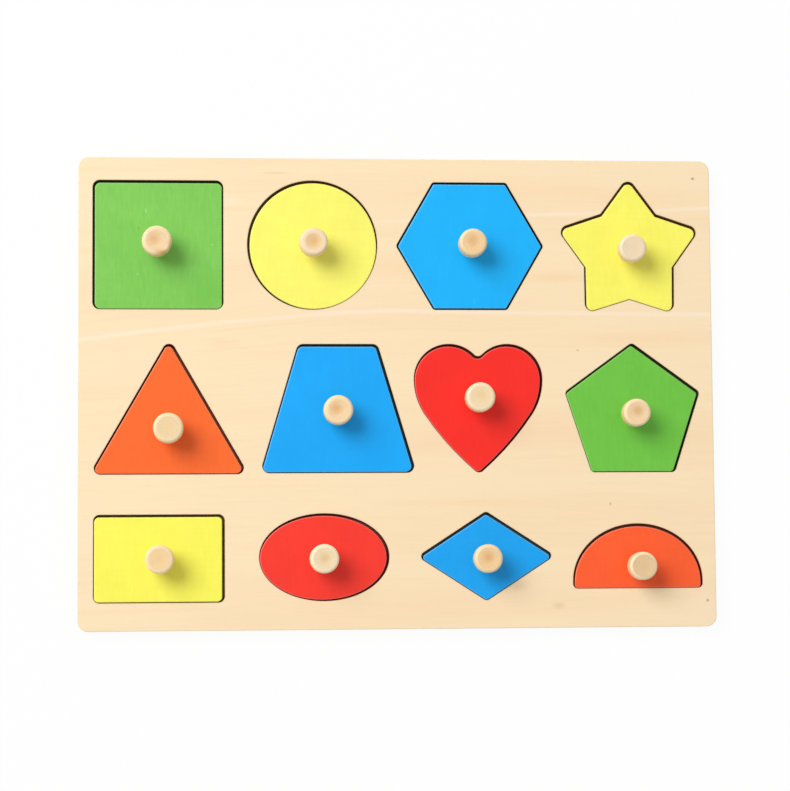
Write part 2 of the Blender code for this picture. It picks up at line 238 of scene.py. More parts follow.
# The photograph's frame, and the camera that took it
IMAGE_WIDTH = 790
IMAGE_HEIGHT = 791
FOCAL_PIXELS = 2411
SENSOR_WIDTH = 36.0
CAMERA_PLACE = (-0.0972, -0.0893, 1.1357)
CAMERA_AIM = (-0.0018, -0.0015, 0.0080)
CAMERA_ROLL = math.radians(-0.43)
NEAREST_SEEN = 0.05
FARTHEST_SEEN = 100.0
FLOOR_REACH = 12.0


def linear(red, green, blue):
    """An sRGB colour of 0 to 255 as the linear values that a shader takes."""
    shares = [channel / 255 for channel in (red, green, blue)]
    return [
        share / 12.92 if share <= 0.04045 else ((share + 0.055) / 1.055) ** 2.4 for share in shares
    ]


# Outlines


def arc(centre, radius, start, end):
    """Points from angle start to angle end, both included, as many at any radius."""
    count = max(1, round(abs(end - start) / ARC_STEP))
    angles = [start + (end - start) * index / count for index in range(count + 1)]
    return [Vector(centre) + radius * Vector((math.cos(a), math.sin(a))) for a in angles]


def crossing(point, along, other_point, other_along):
    """Where two lines cross, each given by a point and a direction."""
    reach = (other_point - point).cross(other_along) / along.cross(other_along)
    return point + reach * along


def turns(corners):
    """Each corner of a polygon, with the directions into it and out of it."""
    for index, corner in enumerate(corners):
        before = (corner - corners[index - 1]).normalized()
        after = (corners[(index + 1) % len(corners)] - corner).normalized()
        yield corner, before, after


def leftward(along):
    return Vector((-along.y, along.x))


def drawn_in(corners, inset):
    """The corners of an anticlockwise polygon whose sides have all moved in by the inset."""
    moved = []
    for corner, before, after in turns(corners):
        on_before = corner + inset * leftward(before)
        on_after = corner + inset * leftward(after)
        moved.append(crossing(on_before, before, on_after, after))
    return moved


def rounded_polygon(corners, radius, inset):
    """Polygon drawn in by the inset, its outward corners rounded and its inward ones sharp."""
    corners = drawn_in([Vector(corner) for corner in corners], inset)
    radius = max(0.0, radius - inset)
    outline = []
    for corner, before, after in turns(corners):
        turn = math.atan2(before.cross(after), before.dot(after))
        if turn <= 0.0:
            outline.append(corner)
            continue
        back = radius * math.tan(turn / 2)
        centre = corner - back * before + radius * leftward(before)
        start = math.atan2(-before.x, before.y)
        outline += arc(centre, radius, start, start + turn)
    return outline


def regular_polygon(count, radius, first_angle):
    angles = [first_angle + math.tau * index / count for index in range(count)]
    return [(radius * math.cos(a), radius * math.sin(a)) for a in angles]


def box_corners(length, depth):
    x = length / 2
    y = depth / 2
    return [(-x, -y), (x, -y), (x, y), (-x, y)]


def ellipse(length, depth, inset):
    """An ellipse, with each point moved in along its own normal."""
    outline = []
    for across in arc((0, 0), 1.0, 0.0, math.tau)[:-1]:
        normal = Vector((across.x * depth, across.y * length)).normalized()
        outline.append(Vector((across.x * length / 2, across.y * depth / 2)) - inset * normal)
    return outline


def square_outline(inset):
    return rounded_polygon(box_corners(SQUARE_SIDE, SQUARE_SIDE), SQUARE_ROUND, inset)


def circle_outline(inset):
    return ellipse(CIRCLE_DIAMETER, CIRCLE_DIAMETER, inset)


def hexagon_outline(inset):
    radius = HEXAGON_ACROSS_FLATS / 2 / math.cos(math.pi / 6)
    return rounded_polygon(regular_polygon(6, radius, 0.0), HEXAGON_ROUND, inset)


def star_outline(inset):
    tips = regular_polygon(5, STAR_TIP_RADIUS, math.pi / 2)
    inner = regular_polygon(5, STAR_INNER_RADIUS, math.pi / 2 + math.pi / 5)
    corners = [corner for pair in zip(tips, inner) for corner in pair]
    return rounded_polygon(corners, STAR_ROUND, inset)


def triangle_outline(inset):
    radius = TRIANGLE_SIDE / math.sqrt(3)
    return rounded_polygon(regular_polygon(3, radius, math.pi / 2), TRIANGLE_ROUND, inset)


def trapezoid_outline(inset):
    front = TRAPEZOID_FRONT / 2
    back = TRAPEZOID_BACK / 2
    depth = TRAPEZOID_DEPTH / 2
    corners = [(-front, -depth), (front, -depth), (back, depth), (-back, depth)]
    return rounded_polygon(corners, TRAPEZOID_ROUND, inset)


def heart_outline(inset):
    """Two lobes, each run by a flank arc and a flatter side arc down to the rounded point."""
    lobe_centre = Vector((HEART_LOBE_SPACING / 2, 0))
    flank_centre = lobe_centre - Vector((HEART_FLANK_RADIUS - HEART_LOBE_RADIUS, 0))
    away = flank_centre + Vector((0, HEART_POINT_DROP))
    reach = HEART_SIDE_RADIUS - HEART_FLANK_RADIUS
    share = (away.length**2 + reach**2 - HEART_SIDE_RADIUS**2) / (2 * reach * away.length)
    joint = math.atan2(away.y, away.x) - math.acos(share)
    side_centre = flank_centre - reach * Vector((math.cos(joint), math.sin(joint)))
    round_y = side_centre.y - math.sqrt((HEART_SIDE_RADIUS - HEART_ROUND) ** 2 - side_centre.x**2)
    foot = math.atan2(round_y - side_centre.y, -side_centre.x)
    lobe = HEART_LOBE_RADIUS - inset
    notch = HEART_NOTCH_ROUND + inset
    notch_y = math.sqrt((lobe + notch) ** 2 - lobe_centre.x**2)
    notch_angle = math.atan2(notch_y, -lobe_centre.x)
    right = arc((0, round_y), max(0.0, HEART_ROUND - inset), -math.pi / 2, foot)
    right += arc(side_centre, HEART_SIDE_RADIUS - inset, foot, joint)[1:]
    right += arc(flank_centre, HEART_FLANK_RADIUS - inset, joint, 0.0)[1:]
    right += arc(lobe_centre, lobe, 0.0, notch_angle)[1:]
    right += arc((0, notch_y), notch, notch_angle - math.pi, -math.pi / 2)[1:]
    left = [Vector((-point.x, point.y)) for point in reversed(right[1:-1])]
    return right + left


def pentagon_outline(inset):
    return rounded_polygon(regular_polygon(5, PENTAGON_RADIUS, math.pi / 2), PENTAGON_ROUND, inset)


def rectangle_outline(inset):
    return rounded_polygon(box_corners(RECTANGLE_LENGTH, RECTANGLE_DEPTH), RECTANGLE_ROUND, inset)


def oval_outline(inset):
    return ellipse(OVAL_LENGTH, OVAL_DEPTH, inset)


def rhombus_outline(inset):
    length = RHOMBUS_LENGTH / 2
    depth = RHOMBUS_DEPTH / 2
    corners = [(0, -depth), (length, 0), (0, depth), (-length, 0)]
    return rounded_polygon(corners, RHOMBUS_ROUND, inset)


def semicircle_outline(inset):
    """A slightly flat half disc on a low foot, with a rounded corner at each end of the foot."""
    half = SEMICIRCLE_WIDTH / 2
    rise = SEMICIRCLE_DEPTH - SEMICIRCLE_FOOT
    corner = max(0.0, SEMICIRCLE_ROUND - inset)
    corner_x = half - inset - corner
    corner_y = inset + corner
    outline = arc((corner_x, corner_y), corner, -math.pi / 2, 0.0)
    for across in arc((0, 0), half, 0.0, math.pi):
        normal = Vector((across.x * rise, across.y * half)).normalized()
        height = SEMICIRCLE_FOOT + across.y * rise / half
        outline.append(Vector((across.x, height)) - inset * normal)
    outline += arc((-corner_x, corner_y), corner, math.pi, 3 * math.pi / 2)
    return outline


# Each shape: its outline, and the colour that it is painted
SHAPES = {
    "square": (square_outline, "green"),
    "circle": (circle_outline, "yellow"),
    "hexagon": (hexagon_outline, "blue"),
    "star": (star_outline, "yellow"),
    "triangle": (triangle_outline, "orange"),
    "trapezoid": (trapezoid_outline, "blue"),
    "heart": (heart_outline, "red"),
    "pentagon": (pentagon_outline, "green"),
    "rectangle": (rectangle_outline, "yellow"),
    "oval": (oval_outline, "red"),
    "rhombus": (rhombus_outline, "blue"),
    "semicircle": (semicircle_outline, "orange"),
}

# Each shape's colour as a share of its pot's colour in each channel, and how brushed its coat is
COATS = {
    "square": ((1.17, 1.02, 1.40), 1.0),
    "circle": ((1.00, 1.01, 1.34), 0.4),
    "hexagon": ((1.10, 1.10, 1.02), 0.4),
    "star": ((1.00, 1.01, 1.15), 0.4),
    "triangle": ((1.00, 1.10, 1.02), 0.6),
    "trapezoid": ((0.60, 0.96, 1.00), 0.4),
    "heart": ((0.99, 0.92, 0.85), 0.5),
    "pentagon": ((0.88, 0.96, 0.85), 0.7),
    "rectangle": ((1.00, 1.01, 0.90), 0.4),
    "oval": ((1.01, 1.65, 1.48), 0.5),
    "rhombus": ((1.50, 0.90, 0.94), 0.4),
    "semicircle": ((1.01, 0.84, 1.20), 0.5),
}

# Each knob's wood: its rim, its face and the stain at its heart
KNOB_WOODS = {
    "square": ((247, 222, 176), (243, 208, 160), (228, 176, 118)),
    "circle": ((248, 222, 182), (240, 206, 158), (230, 176, 100)),
    "hexagon": ((244, 216, 168), (243, 206, 152), (224, 170, 110)),
    "star": ((247, 226, 190), (244, 219, 183), (241, 214, 176)),
    "triangle": ((248, 222, 176), (243, 213, 163), (240, 208, 158)),
    "trapezoid": ((250, 222, 178), (245, 211, 162), (228, 168, 102)),
    "heart": ((249, 228, 190), (247, 219, 174), (232, 206, 148)),
    "pentagon": ((248, 222, 178), (246, 212, 165), (216, 168, 108)),
    "rectangle": ((251, 224, 174), (247, 212, 158), (242, 202, 142)),
    "oval": ((250, 232, 192), (245, 220, 178), (226, 190, 134)),
    "rhombus": ((246, 219, 171), (244, 206, 151), (222, 166, 100)),
    "semicircle": ((246, 222, 182), (233, 198, 150), (228, 192, 146)),
}

# Each knob's head: the heart's place, the dish's radius and depth, and the width as a share
KNOB_HEADS = {
    "square": ((-0.0012, 0.0006), 0.0048, 0.00022, 1.022),
    "circle": ((0.0002, 0.0002), 0.0038, 0.00035, 0.970),
    "hexagon": ((-0.0004, 0.0008), 0.0050, 0.00012, 0.960),
    "star": ((0.0006, 0.0000), 0.0052, 0.00012, 0.950),
    "triangle": ((0.0000, 0.0000), 0.0052, 0.00008, 1.030),
    "trapezoid": ((-0.0010, 0.0006), 0.0046, 0.00025, 1.010),
    "heart": ((0.0002, 0.0008), 0.0050, 0.00012, 1.010),
    "pentagon": ((0.0002, 0.0008), 0.0048, 0.00022, 0.952),
    "rectangle": ((-0.0002, 0.0004), 0.0050, 0.00010, 0.985),
    "oval": ((0.0000, 0.0002), 0.0050, 0.00014, 0.995),
    "rhombus": ((-0.0002, 0.0006), 0.0050, 0.00018, 0.975),
    "semicircle": ((0.0006, -0.0004), 0.0052, 0.00018, 0.965),
}


# Places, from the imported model


def box_middle(low, high):
    return Vector(((low.x + high.x) / 2, (low.y + high.y) / 2))


def extent(points):
    """Lowest and highest corner of the box round some points."""
    axes = list(zip(*points))
    return Vector([min(axis) for axis in axes]), Vector([max(axis) for axis in axes])


def outline_middle(outline):
    return box_middle(*extent(outline))


def linked(vert, waiting):
    """The vertex and every one joined to it by edges, taken out of those waiting."""
    island = [vert]
    for found in island:
        for edge in found.link_edges:
            other = edge.other_vert(found)
            if other in waiting:
                waiting.remove(other)
                island.append(other)
    return island


def recess_boxes():
    """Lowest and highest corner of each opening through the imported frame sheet."""
    work = bmesh.new()
    work.from_mesh(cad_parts["frame_panel"].data)
    bmesh.ops.remove_doubles(work, verts=work.verts, dist=MERGE_DISTANCE)
    flat = [face for face in work.faces if abs(face.normal.z) > LEAST_FLAT]
    bmesh.ops.delete(work, geom=flat, context="FACES")
    waiting = set(work.verts)
    islands = []
    while waiting:
        islands.append(extent([vert.co for vert in linked(waiting.pop(), waiting)]))
    work.free()
    islands.sort(key=lambda box: (box[1] - box[0]).length)
    boxes = {}
    for name in SHAPES:
        x, y = box_middle(*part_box(name + "_shape"))
        holding = [(a, b) for a, b in islands if a.x < x < b.x and a.y < y < b.y]
        boxes[name] = holding[0]
    return boxes


def recess_outline(name, inset):
    """A recess's outline in its place on the board."""
    outline = SHAPES[name][0]
    place = box_middle(*RECESSES[name]) - outline_middle(outline(0.0))
    return [point + place for point in outline(inset)]


def shape_outline(name, inset):
    """A shape's outline where it lies in its recess, its near sides brought up to the wall."""
    outline = SHAPES[name][0]
    edge = outline(SIDE_CLEARANCE)
    place = box_middle(*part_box(name + "_shape")) - outline_middle(edge)
    slide = place - box_middle(*RECESSES[name]) + outline_middle(outline(0.0))
    points = []
    for index, point in enumerate(outline(SIDE_CLEARANCE + inset)):
        along = (edge[(index + 1) % len(edge)] - edge[index - 1]).normalized()
        facing = Vector((along.y, -along.x)).dot(slide.normalized())
        share = min(max((facing - NOT_LEANING) / (FULLY_LEANING - NOT_LEANING), 0.0), 1.0)
        points.append(point + place + LEANING * share * slide)
    return points


def board_outline(inset):
    low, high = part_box("frame_panel")
    return rounded_polygon(box_corners(high.x - low.x, high.y - low.y), BOARD_CORNER_RADIUS, inset)


RECESSES = recess_boxes()


# Meshes


def sheet_edge(low, high, plies, ease, under_ease, band, burnt=0.0, paint=0.0):
    """Rings up the edge of a sheet: eased corners, and a fine groove at each glue line.

    Each ring is (inset, height), then how far it is edge and not face, its share of scorch and
    painted shade, and how painted.
    """
    rings = [(under_ease + band, low, 0.0, 0.0, 0.0), (under_ease, low, 0.0, burnt / 2, 0.0)]
    rings.append((0.0, low + under_ease, 1.0, burnt, 0.0))
    for ply in range(1, plies):
        height = low + (high - low) * ply / plies
        rings.append((0.0, height - GLUE_LINE, 1.0, burnt, 0.0))
        rings.append((GLUE_LINE / 2, height, 1.0, burnt, 0.0))
        rings.append((0.0, height + GLUE_LINE, 1.0, burnt, 0.0))
    for step in range(EASE_STEPS + 1):
        share = step / EASE_STEPS
        inset = ease * (1 - math.cos(share * math.pi / 2))
        height = high - ease * (1 - math.sin(share * math.pi / 2))
        rings.append((inset, height, (1 - share) ** 3, burnt * (1 - SCORCH_LOST * share), paint))
    rings.append((ease + band, high, 0.0, 0.0, paint))
    return rings


def knob_profile(head_radius, top, tenon_end, dish_radius, dish_depth):
    """Half the knob's section as radius and height over the shape, from its top to the tenon."""
    side = head_radius - HEAD_TOP_ROUND
    under = head_radius - NECK_RADIUS
    profile = []
    for step in range(DISH_STEPS + 1):
        share = step / DISH_STEPS
        profile.append((dish_radius * share, top - dish_depth * (1 - share**3) ** 1.5))
    for step in range(ROUND_STEPS + 1):
        angle = math.pi / 2 * (1 - step / ROUND_STEPS)
        height = top - HEAD_TOP_ROUND * (1 - math.sin(angle))
        profile.append((side + HEAD_TOP_ROUND * math.cos(angle), height))
    for step in range(ROUND_STEPS + 1):
        angle = math.pi / 2 * step / ROUND_STEPS
        height = NECK_HEIGHT + HEAD_UNDER_ROUND * (1 - math.sin(angle))
        profile.append((NECK_RADIUS + under * math.cos(angle), height))
    for step in range(1, ROUND_STEPS):
        share = step / ROUND_STEPS
        waist = NECK_WAIST * math.sin(math.pi * share)
        profile.append((NECK_RADIUS - waist, NECK_HEIGHT * (1 - share) + SHOULDER_ROUND * share))
    return profile + [
        (NECK_RADIUS, SHOULDER_ROUND),
        (NECK_RADIUS - SHOULDER_ROUND / 4, SEAT_GAP),
        (TENON_RADIUS, SEAT_GAP),
        (TENON_RADIUS, tenon_end + SHOULDER_ROUND / 2),
        (TENON_RADIUS - SHOULDER_ROUND / 2, tenon_end),
        (0.0, tenon_end),
    ]


def bounce_tint_of(paint):
    """The painted tint that light bounced off a paint gives the darkened wood beside it."""
    return [LEAST_BOUNCE_TINT + MOST_BOUNCE_TINT * channel for channel in paint]


def loft(work, outline, rings, turned=False, rubbed=NO_BOUNCE_TINT):
    """Faces between the rings of one closed edge. Turned, the rings stand round an opening."""
    layers = [work.verts.layers.float[mark] for mark in MARKS]
    burnt = work.verts.layers.float["burnt"]
    tint = work.verts.layers.float_color[BOUNCE_TINT]
    below = None
    for inset, height, *values in rings:
        above = []
        for point in outline(-inset if turned else inset):
            vert = work.verts.new((point.x, point.y, height))
            for layer, value in zip(layers, values):
                vert[layer] = value
            # A point that is darkened takes the painted tint of light bounced off the paint
            vert[tint] = (*(rubbed if vert[burnt] else NO_BOUNCE_TINT), 1.0)
            above.append(vert)
        if below:
            for index, vert in enumerate(above):
                work.faces.new((below[index - 1], below[index], vert, above[index - 1]))
        below = above


def loft_recesses(work, colours, rings, turned=False):
    """The rings of every recess. Its shape's paint gives the darkened wood there a painted bounce
    tint.
    """
    for name, (_, paint) in SHAPES.items():
        rubbed = bounce_tint_of(getattr(colours, paint))
        loft(work, lambda inset: recess_outline(name, inset), rings, turned, rubbed)


def close(work, *heights):
    """Joins points that are one, and fills the openings left at each height."""
    bmesh.ops.remove_doubles(work, verts=work.verts, dist=MERGE_DISTANCE)
    for height in heights:
        rim = [
            edge
            for edge in work.edges
            if edge.is_boundary
            and all(abs(vert.co.z - height) < MERGE_DISTANCE for vert in edge.verts)
        ]
        bmesh.ops.triangle_fill(work, edges=rim, use_beauty=True)
    bmesh.ops.recalc_face_normals(work, faces=work.faces)


def new_work():
    work = bmesh.new()
    for mark in MARKS:
        work.verts.layers.float.new(mark)
    work.verts.layers.float_color.new(BOUNCE_TINT)
    return work


def new_piece(name, work, material, place=(0, 0, 0)):
    """The object of a finished bmesh, its curves shaded smooth and its corners sharp."""
    mesh = bpy.data.meshes.new(name)
    work.to_mesh(mesh)
    work.free()
    mesh.shade_smooth()
    mesh.set_sharp_from_angle(angle=SHARP_ANGLE)
    mesh.materials.append(material)
    piece = bpy.data.objects.new(name, mesh)
    piece.location = place
    bpy.context.scene.collection.objects.link(piece)
    return piece


def stands_for(piece, node, body):
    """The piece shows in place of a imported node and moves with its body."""
    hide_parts(node)
    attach(piece, body)


# Finishes


def arithmetic(operation, turned=False):
    """An operator of Value that adds a Math node. Turned, the other value comes first."""

    def combined(value, other):
        pair = (other, value) if turned else (value, other)
        return value.math(operation, *pair)

    return combined


class Value:
    """A socket's value in a node tree. Arithmetic on it adds the Math nodes."""

    def __init__(self, nodes, socket):
        self.nodes = nodes
        self.socket = socket

    def math(self, operation, *values):
        return self.nodes.node("ShaderNodeMath", {"operation": operation}, values)["Value"]

    __add__ = __radd__ = arithmetic("ADD")
    __mul__ = __rmul__ = arithmetic("MULTIPLY")
    __sub__ = arithmetic("SUBTRACT")
    __rsub__ = arithmetic("SUBTRACT", turned=True)
    __truediv__ = arithmetic("DIVIDE")
    __rtruediv__ = arithmetic("DIVIDE", turned=True)
    __pow__ = arithmetic("POWER")
    __rpow__ = arithmetic("POWER", turned=True)

    def __abs__(self):
        return self.math("ABSOLUTE", self)

    def length(self):
        return self.nodes.vectors("LENGTH", self)["Value"]

    def larger(self, other):
        return self.math("MAXIMUM", self, other)


class Nodes:
    """A node tree, built up node by node."""

    def __init__(self, tree):
        self.tree = tree

    def node(self, kind, settings, inputs):
        """Adds a node: its settings, then its inputs by place or by name. Gives its outputs."""
        node = self.tree.nodes.new(kind)
        for setting, value in settings.items():
            setattr(node, setting, value)
        shown = [socket for socket in node.inputs if socket.enabled]
        named = {socket.name: socket for socket in shown}
        pairs = inputs.items() if isinstance(inputs, dict) else enumerate(inputs)
        for key, value in pairs:
            socket = named[key] if isinstance(key, str) else shown[key]
            if isinstance(value, Value):
                self.tree.links.new(value.socket, socket)
            elif socket.type == "RGBA":
                socket.default_value = (*value, 1.0)
            else:
                socket.default_value = value
        return {socket.name: Value(self, socket) for socket in node.outputs if socket.enabled}

    def vectors(self, operation, *values):
        return self.node("ShaderNodeVectorMath", {"operation": operation}, values)


class Finish(Nodes):
    """A material for one kind of wood or paint."""

    def __init__(self, name, **constants):
        self.material = bpy.data.materials.new(name)
        self.material.use_nodes = True
        super().__init__(self.material.node_tree)
        self.shader = self.tree.nodes["Principled BSDF"]
        for socket, value in constants.items():
            self.shader.inputs[socket.replace("_", " ")].default_value = value

    def place(self):
        """Where a point is on its piece."""
        return self.node("ShaderNodeTexCoord", {}, {})["Object"]

    def split(self, vector):
        parts = self.node("ShaderNodeSeparateXYZ", {}, {"Vector": vector})
        return parts["X"], parts["Y"], parts["Z"]

    def joined(self, x, y, z):
        return self.node("ShaderNodeCombineXYZ", {}, {"X": x, "Y": y, "Z": z})["Vector"]

    def noise(self, vector, scale, detail=2.0, roughness=0.5, distortion=0.0):
        inputs = {"Vector": vector, "Scale": scale, "Detail": detail}
        inputs.update({"Roughness": roughness, "Distortion": distortion})
        return self.node("ShaderNodeTexNoise", {}, inputs)["Fac"]

    def pattern(self, parts, repeats, *settings):
        """Noise stretched to repeat so often in a metre along x, y and z."""
        stretched = [part * count for part, count in zip(parts, repeats)]
        return self.noise(self.joined(*stretched), 1.0, *settings)

    def spots(self, vector, scale, reach):
        """Small round spots strewn over a surface, 1 at their middles."""
        cells = self.node("ShaderNodeTexVoronoi", {}, {"Vector": vector, "Scale": scale})
        return 1 - self.rise(cells["Distance"], reach / 3, reach)

    def rise(self, value, start, end):
        """0 up to start and 1 from end on, smooth between."""
        settings = {"interpolation_type": "SMOOTHSTEP"}
        return self.node("ShaderNodeMapRange", settings, (value, start, end, 0.0, 1.0))["Result"]

    def blend(self, share, colour, other):
        settings = {"data_type": "RGBA"}
        inputs = {"Factor": share, "A": colour, "B": other}
        return self.node("ShaderNodeMix", settings, inputs)["Result"]

    def shaded(self, colour, level):
        """A colour made lighter or darker."""
        if not isinstance(colour, Value):
            colour = self.joined(*colour)
        return self.vectors("SCALE", colour, level)["Vector"]

    def tinted(self, colour, tint):
        """A colour multiplied by another, channel by channel."""
        return self.vectors("MULTIPLY", colour, tint)["Vector"]

    def mark(self, name):
        return self.node("ShaderNodeAttribute", {"attribute_name": name}, {})["Fac"]

    def rubbed(self):
        return self.node("ShaderNodeAttribute", {"attribute_name": BOUNCE_TINT}, {})["Color"]

    def ends(self, colour, roughness, height, depth):
        """Links what was worked out to the shader. Depth is how deep the relief is."""
        inputs = {"Height": height, "Distance": depth}
        relief = self.node("ShaderNodeBump", {}, inputs)["Normal"]
        self.tree.links.new(colour.socket, self.shader.inputs["Base Color"])
        self.tree.links.new(roughness.socket, self.shader.inputs["Roughness"])
        self.tree.links.new(relief.socket, self.shader.inputs["Normal"])
        return self.material


def veneer(finish, x, y, z, tone):
    """The face of a birch sheet with its grain along x: colour, roughness and relief."""
    bands = finish.pattern((x, y, z), BANDS, 3.0, 0.5, 0.6)
    streaks = finish.pattern((x, y, z), STREAKS, 4.0, 0.6)
    fibres = finish.pattern((x, y, z), FIBRES, 2.0, 0.6)
    flecks = finish.pattern((x, y, z), FLECKS, 1.0)
    warm = finish.blend(finish.rise(bands, 0.42, 0.75) * 0.5, tone, linear(*WARM_BAND))
    warm = finish.blend(finish.rise(streaks, 0.5, 0.8) * 0.3, warm, linear(*WARM_STREAK))
    level = 0.99 + 0.05 * (fibres - 0.5) + 0.04 * (streaks - 0.5)
    colour = finish.shaded(warm, level)
    colour = finish.blend(finish.rise(flecks, 0.70, 0.82) * 0.15, colour, linear(*FLECK))
    roughness = 0.5 + 0.14 * streaks
    relief = fibres * 0.6 + streaks * 0.4 - finish.rise(flecks, 0.68, 0.8) * 0.5
    return colour, roughness, relief


def ply_edge(finish, place, low, high, plies):
    """The cut edge of a sheet: plies that run by turns along and across, with glue between."""
    x, y, z = finish.split(place)
    layer = (z - low) / ((high - low) / plies)
    across = layer.math("MODULO", layer.math("FLOOR", layer), 2.0)
    within = abs(layer.math("FRACT", layer) - 0.5)
    long_grain = finish.pattern((x, y, z), LONG_PLY_GRAIN, 3.0, 0.6)
    end_grain = finish.pattern((x, y, z), END_PLY_GRAIN, 2.0)
    along = finish.shaded(linear(*LONG_PLY), 0.85 + 0.3 * long_grain)
    end = finish.shaded(linear(*END_PLY), 0.75 + 0.5 * end_grain)
    colour = finish.blend(across, along, end)
    glue = finish.rise(within, 0.43, 0.49)
    return finish.blend(glue * 0.7, colour, linear(*GLUE)), end_grain


def scorched_and_shaded(finish, place, colour, burnt, rubbed):
    """A wood darkened in fine upright ribs where the cutter charred it and where shade is painted,
    and tinted with painted light bounced off paint.
    """
    ribs = finish.pattern(finish.split(place), SCORCH_RIBS, 2.0)
    char = finish.blend(ribs, linear(*DARK_CHAR), linear(*LIGHT_CHAR))
    return finish.blend(burnt, colour, finish.tinted(char, rubbed))


def fallen(x):
    """How far the board's grain has fallen away at x, from 0 at the board's middle."""
    return ((0.0 - x).larger(0.0) / FALL_LENGTH) ** FALL_POWER


def streak(finish, x, y, height, slope, drop, width):
    """A pale line of the grain across the board, which falls away to the left: 1 on it."""
    centre = height + slope * x - drop * fallen(x)
    waver = finish.noise(finish.joined(x * 26, height * 900, 0.0), 1.0, 2.0)
    away = abs(y - centre - 0.0012 * (waver - 0.5)) / (width * (0.7 + 0.6 * waver))
    return (1 - finish.rise(away, 0.0, 1.0)) * (0.5 + waver)


def marked(finish, x, y, colour, marks):
    """A face's colour with its marks, each strongest at its middle."""
    for (middle_x, middle_y), (reach_x, reach_y), strength, stain in marks:
        away = finish.joined((x - middle_x) / reach_x, (y - middle_y) / reach_y, 0.0).length()
        colour = finish.blend((1 - finish.rise(away, 0.0, 1.0)) * strength, colour, linear(*stain))
    return colour


def frame_finish(colours):
    """Pale birch face with fine grain along the board, ply edges, and recess walls charred by the
    cutter and tinted with painted bounce light.
    """
    finish = Finish("frame_birch", Coat_Weight=0.05, Coat_Roughness=0.4)
    low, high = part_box("frame_panel")
    place = finish.place()
    x, y, z = finish.split(place)
    # The grain swings down to the left about the pale streak over the middle row
    away = finish.rise(abs(y - FALL_MIDDLE) / FALL_REACH, 0.0, 1.0)
    swing = y + fallen(x) * FALL_DROP * (1 - away)
    colour, roughness, relief = veneer(finish, x, swing, z, colours.birch)
    middle = streak(finish, x, y, *MIDDLE_STREAK)
    back = streak(finish, x, y, *BACK_STREAK) * finish.rise(x, -0.03, 0.02)
    colour = finish.blend(middle.larger(back) * 0.38, colour, linear(*PALE_STREAK))
    colour = marked(finish, x, y, colour, BOARD_MARKS)
    edge, end_grain = ply_edge(finish, place, low.z, high.z, FRAME_PLIES)
    side = finish.mark("side")
    colour = finish.blend(side, colour, edge)
    # Char on the recess walls, tinted with painted bounce light from their shapes' paint
    burnt = finish.mark("burnt")
    colour = scorched_and_shaded(finish, place, colour, burnt, finish.rubbed())
    return finish.ends(colour, roughness + 0.15 * side, relief + side * end_grain, WOOD_RELIEF)


def backing_finish(colours):
    """Plainer birch for the sheet under the frame, with painted shade and painted bounce light on
    each recess floor beside its wall.
    """
    finish = Finish("backing_birch")
    low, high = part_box("backing_panel")
    place = finish.place()
    x, y, z = finish.split(place)
    colour, roughness, relief = veneer(finish, x + 0.7, y + 0.4, z, colours.backing)
    edge, end_grain = ply_edge(finish, place, low.z, high.z, BACKING_PLIES)
    side = finish.mark("side")
    colour = finish.blend(side, colour, edge)
    rubbed = finish.rubbed()
    # Painted bounce light: beside each wall the floor takes its shape's paint colour
    floor_bounce = finish.vectors("MINIMUM", rubbed, NO_BOUNCE_TINT)["Vector"]
    colour = scorched_and_shaded(finish, place, finish.tinted(colour, floor_bounce), finish.mark("burnt"), rubbed)
    return finish.ends(colour, roughness + 0.15 * side, relief + side * end_grain, WOOD_RELIEF)


